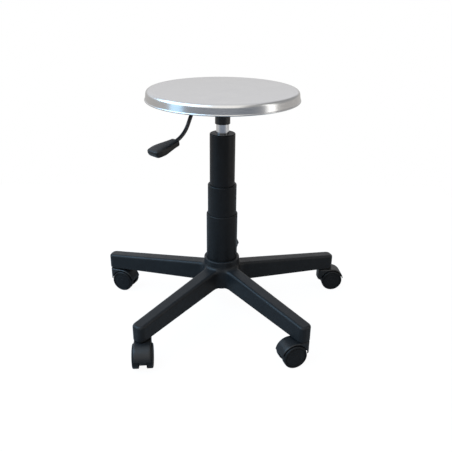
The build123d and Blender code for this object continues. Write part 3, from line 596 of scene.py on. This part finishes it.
def hood_line(axle):
    """Side line of the hood with its inward normals: up the end wall, round its corner, along and down the arch."""
    top = axle[1] + hood_radius
    corner = np.array([hood_edge - hood_back, top - hood_edge])
    wall = np.linspace((-hood_back, axle[1] + hood_foot), (-hood_back, corner[1]), 20)[:-1]
    bend = arc(corner, hood_edge, 180, 90, 8)
    roof = np.linspace((corner[0], top), (axle[0], top), 12)[1:-1]
    arch = arc(axle, hood_radius, 90, math.degrees(math.asin(arch_foot / hood_radius)), 28)
    line = np.concatenate([wall, bend, roof, arch])
    inward = np.concatenate([np.tile((1.0, 0.0), (len(wall), 1)), unit(corner - bend),
                             np.tile((0.0, -1.0), (len(roof), 1)), unit(axle - arch)])
    return line, inward


def plan_half(x, inset):
    """Half width of the hood's outline seen from above: straight, with rounded corners at the end wall."""
    corner = hood_corner - inset
    short = np.clip(hood_corner - hood_back - x, 0, corner)
    return hood_half - hood_corner + np.sqrt(corner ** 2 - short ** 2)


def hood_skin(line, inward, axle, edge, inset):
    """The hood's skin: its side line spread across the width, rounded over at both sides and led to the opening.

    The rounding drops by edge * (1 - cosine) while it widens by edge * sine; it stops where the round wheel
    opening begins. From there a flat side plate runs on towards the axle as far as the opening.
    """
    opening = hood_radius - hood_wall
    spare = np.linalg.norm(line - axle, axis=1) - opening
    half = plan_half((line + inward * edge[:, None])[:, 0], inset)
    turn = np.arccos(1 - np.clip(spare / edge, 0, 1))[:, None] * np.linspace(0, 1, 8)
    level = np.linspace(0, 1, 5)[:-1] * (half - edge)[:, None]
    width = np.concatenate([level, (half - edge)[:, None] + edge[:, None] * np.sin(turn)], 1)
    drop = np.concatenate([0 * level, edge[:, None] * (1 - np.cos(turn))], 1)
    side = line[:, None] + inward[:, None] * drop[..., None]
    rim = axle + unit(side[:, -1] - axle) * opening
    share = np.linspace(0, 1, 6)[1:, None]
    plate = side[:, -1:] + (rim[:, None] - side[:, -1:]) * share
    plate_width = np.where((spare > edge)[:, None], plan_half(plate[..., 0], inset), width[:, -1:])
    side, width = np.concatenate([side, plate], 1), np.concatenate([width, plate_width], 1)
    width = np.minimum(width, plan_half(side[..., 0], inset))
    half_skin = np.stack([side[..., 0], width, side[..., 1]], -1)
    return np.concatenate([half_skin[:, :0:-1] * (1, -1, 1), half_skin], 1)


def hood_surfaces(axle):
    """Outer and inner skins joined at the wheel openings, their two end strips, and the plate between the wheels.

    The side edges' rounding grows from the roof's small radius to the end wall's full corner lower down.
    """
    line, inward = hood_line(axle)
    lowered = axle[1] + hood_radius - hood_edge - line[:, 1]
    edge = hood_edge + (hood_corner - hood_edge) * smooth_step(lowered, 0, hood_corner) * (line[:, 0] < 0)
    outer = hood_skin(line, inward, axle, edge, 0.0)
    inner = hood_skin(line + inward * hood_wall, inward, axle, edge - hood_wall, hood_wall)
    shell = np.concatenate([outer, inner[:, ::-1]], 1)
    ends = [np.stack([outer[row], inner[row]]) for row in (0, -1)]
    spread = line + inward * hood_wall / 2 - axle
    reach, angle = np.linalg.norm(spread, axis=1), np.arctan2(spread[:, 1], spread[:, 0])
    around = np.linspace(-math.pi / 2, 1.5 * math.pi, 160, endpoint=False)
    angle = np.where(angle < -math.pi / 2, angle + TURN, angle)
    rim = np.interp(around, angle[::-1], reach[::-1], left=web_radius, right=web_radius)
    depth = np.array([0, 1, 1, 0])[:, None] * rim
    across = np.array([-web_half, -web_half, web_half, web_half])[:, None] + 0 * rim
    plate = np.stack([axle[0] + depth * np.cos(around), across, axle[1] + depth * np.sin(around)], -1)
    return [(shell, False, True), *((end, False, False) for end in ends), (plate, False, True)]


for corner in casters:
    stem = np.array(joints[f"caster_{corner}_swivel"]["pos_m"]) / MM * (1, 1, 0)
    hub = np.array(joints[f"caster_{corner}_left_spin"]["pos_m"]) / MM
    across = np.array(joints[f"caster_{corner}_left_spin"]["axis"])
    trail = unit((hub - stem) * (1, 1, 0))
    axle = np.array([(hub - stem) @ trail, hub[2]])
    shells = [(set_on(grid, stem, trail, across), rows, columns) for grid, rows, columns in hood_surfaces(axle)]
    piece(f"{corner}_hood", f"caster_{corner}", "caster_nylon", shells, [f"caster_{corner}_hood"], 50)
    for side, outward in (("left", across), ("right", -across)):
        disc = set_on(turned(wheel_section()), hub, trail, UP, outward)
        piece(f"{corner}_wheel_{side}", f"caster_{corner}_wheel_{side}", "wheel_nylon", [(disc, False, True)],
              [f"caster_{corner}_wheel_{side}"], 50)


# Floor and room
def shown_to_eye(tree):
    """1 for rays that come from the camera, a mirror or glass and 0 for rays that carry light, with all ray kinds."""
    seen = add(tree, "ShaderNodeLightPath").outputs
    mirror = add(tree, "ShaderNodeMath", {0: seen["Is Camera Ray"], 1: seen["Is Glossy Ray"]}, operation="MAXIMUM")
    return add(tree, "ShaderNodeMath", {0: mirror.outputs["Value"], 1: seen["Is Transmission Ray"]},
               operation="MAXIMUM").outputs["Value"], seen


def backdrop_finish(name):
    """White to the camera with a faint paint that keeps the shadow; a dim lit floor to mirrors and glass."""
    material = bpy.data.materials.new(name)
    material.use_nodes = True
    tree = material.node_tree
    tree.nodes.clear()
    eye, seen = shown_to_eye(tree)
    paint = add(tree, "ShaderNodeBsdfDiffuse", {"Color": (floor_lit, floor_lit, floor_lit, 1)}).outputs["BSDF"]
    strength = between(tree, seen["Is Camera Ray"], floor_glow, camera_glow, 0.0, 1.0)
    glow = add(tree, "ShaderNodeEmission", {"Color": (1, 1, 1, 1), "Strength": strength}).outputs["Emission"]
    shade = between(tree, seen["Is Camera Ray"], floor_lit, camera_shade, 0.0, 1.0)
    faint = add(tree, "ShaderNodeBsdfDiffuse", {"Color": shade}).outputs["BSDF"]
    white = add(tree, "ShaderNodeAddShader", {0: glow, 1: faint}).outputs["Shader"]
    both = add(tree, "ShaderNodeMixShader", {"Fac": eye, 1: paint, 2: white}).outputs["Shader"]
    add(tree, "ShaderNodeOutputMaterial", {"Surface": both})
    return material


def eased(tree, value, start, end):
    """From 0 where the value is at the start to 1 at the end, level at both."""
    inputs = {"Value": value, "From Min": start, "From Max": end}
    return add(tree, "ShaderNodeMapRange", inputs, clamp=True, interpolation_type="SMOOTHSTEP").outputs["Result"]


def mixed(tree, amount, first, second):
    """A colour that goes from the first to the second with the amount."""
    return add(tree, "ShaderNodeMix", {"Factor": amount, 6: first, 7: second}, data_type="RGBA").outputs[2]


def glow_of(tree, colour, strength=1.0):
    """Light of a colour from all round."""
    return add(tree, "ShaderNodeBackground", {"Color": colour, "Strength": strength}).outputs["Background"]


floor_mesh = bpy.data.meshes.new("studio_floor")
floor_mesh.from_pydata([(-floor_half, -floor_half, 0), (floor_half, -floor_half, 0), (floor_half, floor_half, 0),
                        (-floor_half, floor_half, 0)], [], [(0, 1, 2, 3)])
floor_mesh.materials.append(backdrop_finish("white_floor"))
floor = bpy.data.objects.new("studio_floor", floor_mesh)
bpy.context.scene.collection.objects.link(floor)

# Mirrors see a room: dim walls, darkest on the camera's side, under a bright sky that is darker on the right
world = bpy.data.worlds.new("studio_room")
bpy.context.scene.world = world
world.use_nodes = True
room = world.node_tree
room.nodes.clear()
x, y, z = add(room, "ShaderNodeSeparateXYZ",
              {"Vector": add(room, "ShaderNodeTexCoord").outputs["Generated"]}).outputs
low = mixed(room, eased(room, y, -0.95, 0.0), (0.26, 0.285, 0.33, 1), (0.62, 0.60, 0.58, 1))
high = mixed(room, eased(room, y, 0.3, -0.6), (0.95, 0.95, 0.97, 1), (1.45, 1.42, 1.36, 1))
high = mixed(room, eased(room, x, 0.3, 0.6), high, (0.45, 0.45, 0.45, 1))
walls = mixed(room, eased(room, z, 0.04, 0.26), low, high)
eye, seen = shown_to_eye(room)
light, mirrored, white = glow_of(room, (0.95, 0.97, 1.0, 1), 0.25), glow_of(room, walls), glow_of(room, (1, 1, 1, 1))
reflected = add(room, "ShaderNodeMixShader", {"Fac": eye, 1: light, 2: mirrored}).outputs["Shader"]
looked_at = add(room, "ShaderNodeMixShader", {"Fac": seen["Is Camera Ray"], 1: reflected, 2: white}).outputs["Shader"]
add(room, "ShaderNodeOutputWorld", {"Surface": looked_at})


# Lamps and camera, in metres
def lamp(name, stand, aim, size, radiance, colour, mirrored=True):
    """A soft rectangular light facing its aim; its power is radiance times area times pi."""
    width, height = size
    data = bpy.data.lights.new(name, "AREA")
    data.shape, data.size, data.size_y, data.color = "RECTANGLE", width, height, colour
    data.energy = radiance * width * height * math.pi
    made = bpy.data.objects.new(name, data)
    bpy.context.scene.collection.objects.link(made)
    facing = (Vector(stand) - Vector(aim)).to_track_quat("Z", "Y").to_matrix().to_4x4()
    made.matrix_world = Matrix.Translation(stand) @ facing
    made.visible_camera, made.visible_glossy = False, mirrored


lamp("window_left", stand=(-1.85, -0.76, 1.30), aim=(0, 0, 1.3), size=(0.75, 2.2),
     radiance=1.45, colour=(0.36, 0.70, 1.0))
lamp("window_side", stand=(-2.00, 0.10, 1.85), aim=(0, 0, 1.0), size=(1.3, 1.5),
     radiance=5.0, colour=(0.32, 0.66, 1.0))
lamp("window_right", stand=(1.88, -0.68, 1.0), aim=(0, 0, 1.0), size=(0.55, 1.9),
     radiance=1.7, colour=(1.0, 0.99, 0.96))
lamp("daylight_left", stand=(-1.45, -0.95, 2.05), aim=(0, 0, 0.2), size=(1.6, 1.4),
     radiance=5.2, colour=(0.34, 0.66, 1.0))
lamp("ceiling", stand=(-0.2, -0.1, 2.6), aim=(0, 0.1, 0), size=(2.0, 2.4),
     radiance=1.5, colour=(1, 0.97, 0.94), mirrored=False)

camera_data = bpy.data.cameras.new("photo_camera")
camera_data.sensor_width, camera_data.lens = camera_sensor, camera_lens
camera = bpy.data.objects.new("photo_camera", camera_data)
bpy.context.scene.collection.objects.link(camera)
camera.matrix_world = (Matrix.Translation(camera_stand) @ Matrix.Rotation(camera_yaw, 4, "Z")
                       @ Matrix.Rotation(math.pi / 2 + camera_pitch, 4, "X") @ Matrix.Rotation(camera_roll, 4, "Z"))
bpy.context.scene.camera = camera
bpy.context.scene.view_settings.view_transform = "Standard"
